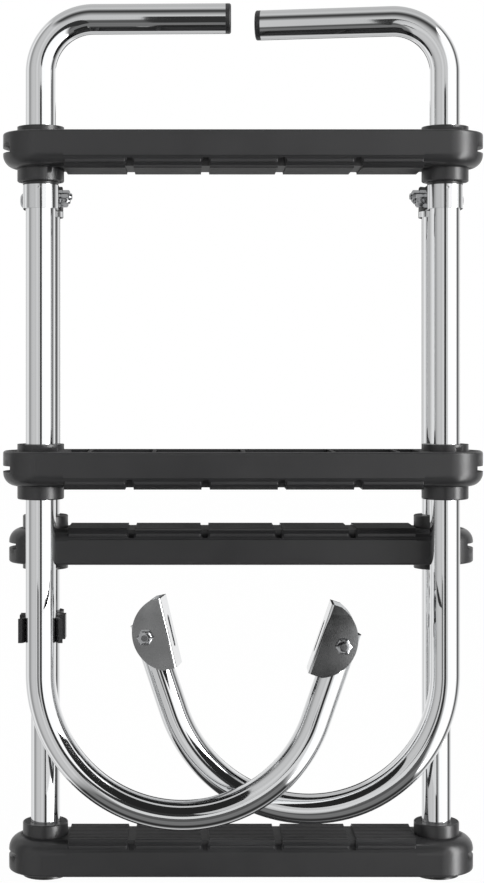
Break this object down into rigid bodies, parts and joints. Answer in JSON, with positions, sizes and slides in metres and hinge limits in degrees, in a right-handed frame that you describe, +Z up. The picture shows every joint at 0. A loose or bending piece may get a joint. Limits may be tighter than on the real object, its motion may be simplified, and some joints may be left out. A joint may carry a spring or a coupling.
{
  "type": "folding boat ladder",
  "caption": "Folding gunwale-hook boat ladder of polished tube with moulded treads: the lower frame unfolds, the bent hooks and stand-offs swing out and the deck brackets pivot.",
  "frame": {"origin": "on the outer face of the left hook's deck bracket, 23.5 mm below its pivot bolt along the plate", "axes": "+Z up along the stringers as stored, +Y back from the upper frame to the lower frame, +X across from the left stringer to the right one"},
  "size_m": [0.4058, 0.1134, 0.7505],
  "materials": {
    "tube_steel": "mirror-polished stainless tube",
    "strap_steel": "bent stainless strip, satin",
    "fastener_steel": "bright stainless bolts and nuts",
    "tread_plastic": "black moulded plastic, fine grain",
    "hinge_plastic": "black moulded plastic",
    "cap_plastic": "black soft end caps"
  },
  "bodies": {
    "upper_frame": {"upper_tread_high": "tread_plastic", "upper_tread_low": "tread_plastic", "left_hinge_strap": "strap_steel", "left_spacer_ring": "hinge_plastic", "left_clamp_bolt": "fastener_steel", "left_clamp_nut": "fastener_steel", "left_pivot_bolt": "fastener_steel", "left_pivot_nut": "fastener_steel", "right_hinge_strap": "strap_steel", "right_spacer_ring": "hinge_plastic", "right_clamp_bolt": "fastener_steel", "right_clamp_nut": "fastener_steel", "right_pivot_bolt": "fastener_steel", "right_pivot_nut": "fastener_steel"},
    "left_stringer": {"left_stringer": "tube_steel", "left_standoff_cap": "cap_plastic"},
    "right_stringer": {"right_stringer": "tube_steel", "right_standoff_cap": "cap_plastic"},
    "left_bracket": {"left_deck_bracket": "strap_steel", "left_bracket_bolt": "fastener_steel", "left_bracket_nut": "fastener_steel"},
    "right_bracket": {"right_deck_bracket": "strap_steel", "right_bracket_bolt": "fastener_steel", "right_bracket_nut": "fastener_steel"},
    "lower_frame": {"left_lower_tube": "tube_steel", "left_hinge_plug": "hinge_plastic", "left_tube_collar": "strap_steel", "left_foot_cap": "cap_plastic", "right_lower_tube": "tube_steel", "right_hinge_plug": "hinge_plastic", "right_tube_collar": "strap_steel", "right_foot_cap": "cap_plastic", "lower_tread_high": "tread_plastic", "lower_tread_low": "tread_plastic", "transport_clip": "hinge_plastic"}
  },
  "joints": [
    {"name": "fold", "type": "hinge", "parent": "upper_frame", "child": "lower_frame", "pos_m": [-0.05664, 0.05597, 0.39781], "axis": [1, 0, 0], "range_deg": [0, 180]},
    {"name": "left_swing", "type": "hinge", "parent": "upper_frame", "child": "left_stringer", "pos_m": [-0.22784, 0.00597, -0.01079], "axis": [0, 0, -1], "range_deg": [0, 126.9]},
    {"name": "right_swing", "type": "hinge", "parent": "upper_frame", "child": "right_stringer", "pos_m": [0.11456, 0.00597, -0.01079], "axis": [0, 0, 1], "range_deg": [0, 99]},
    {"name": "left_bracket_turn", "type": "hinge", "parent": "left_stringer", "child": "left_bracket", "pos_m": [0.02703, -0.00071, 0.01555], "axis": [0.0262, 0.9997, 0], "range_deg": [-8, 188]},
    {"name": "right_bracket_turn", "type": "hinge", "parent": "right_stringer", "child": "right_bracket", "pos_m": [-0.13726, 0.04585, 0.01555], "axis": [-0.1564, -0.9877, 0], "range_deg": [-2.5, 193.5]}
  ],
  "couplings": [
    {"joint": "right_swing", "follows": "left_swing", "ratio": 0.78}
  ]
}
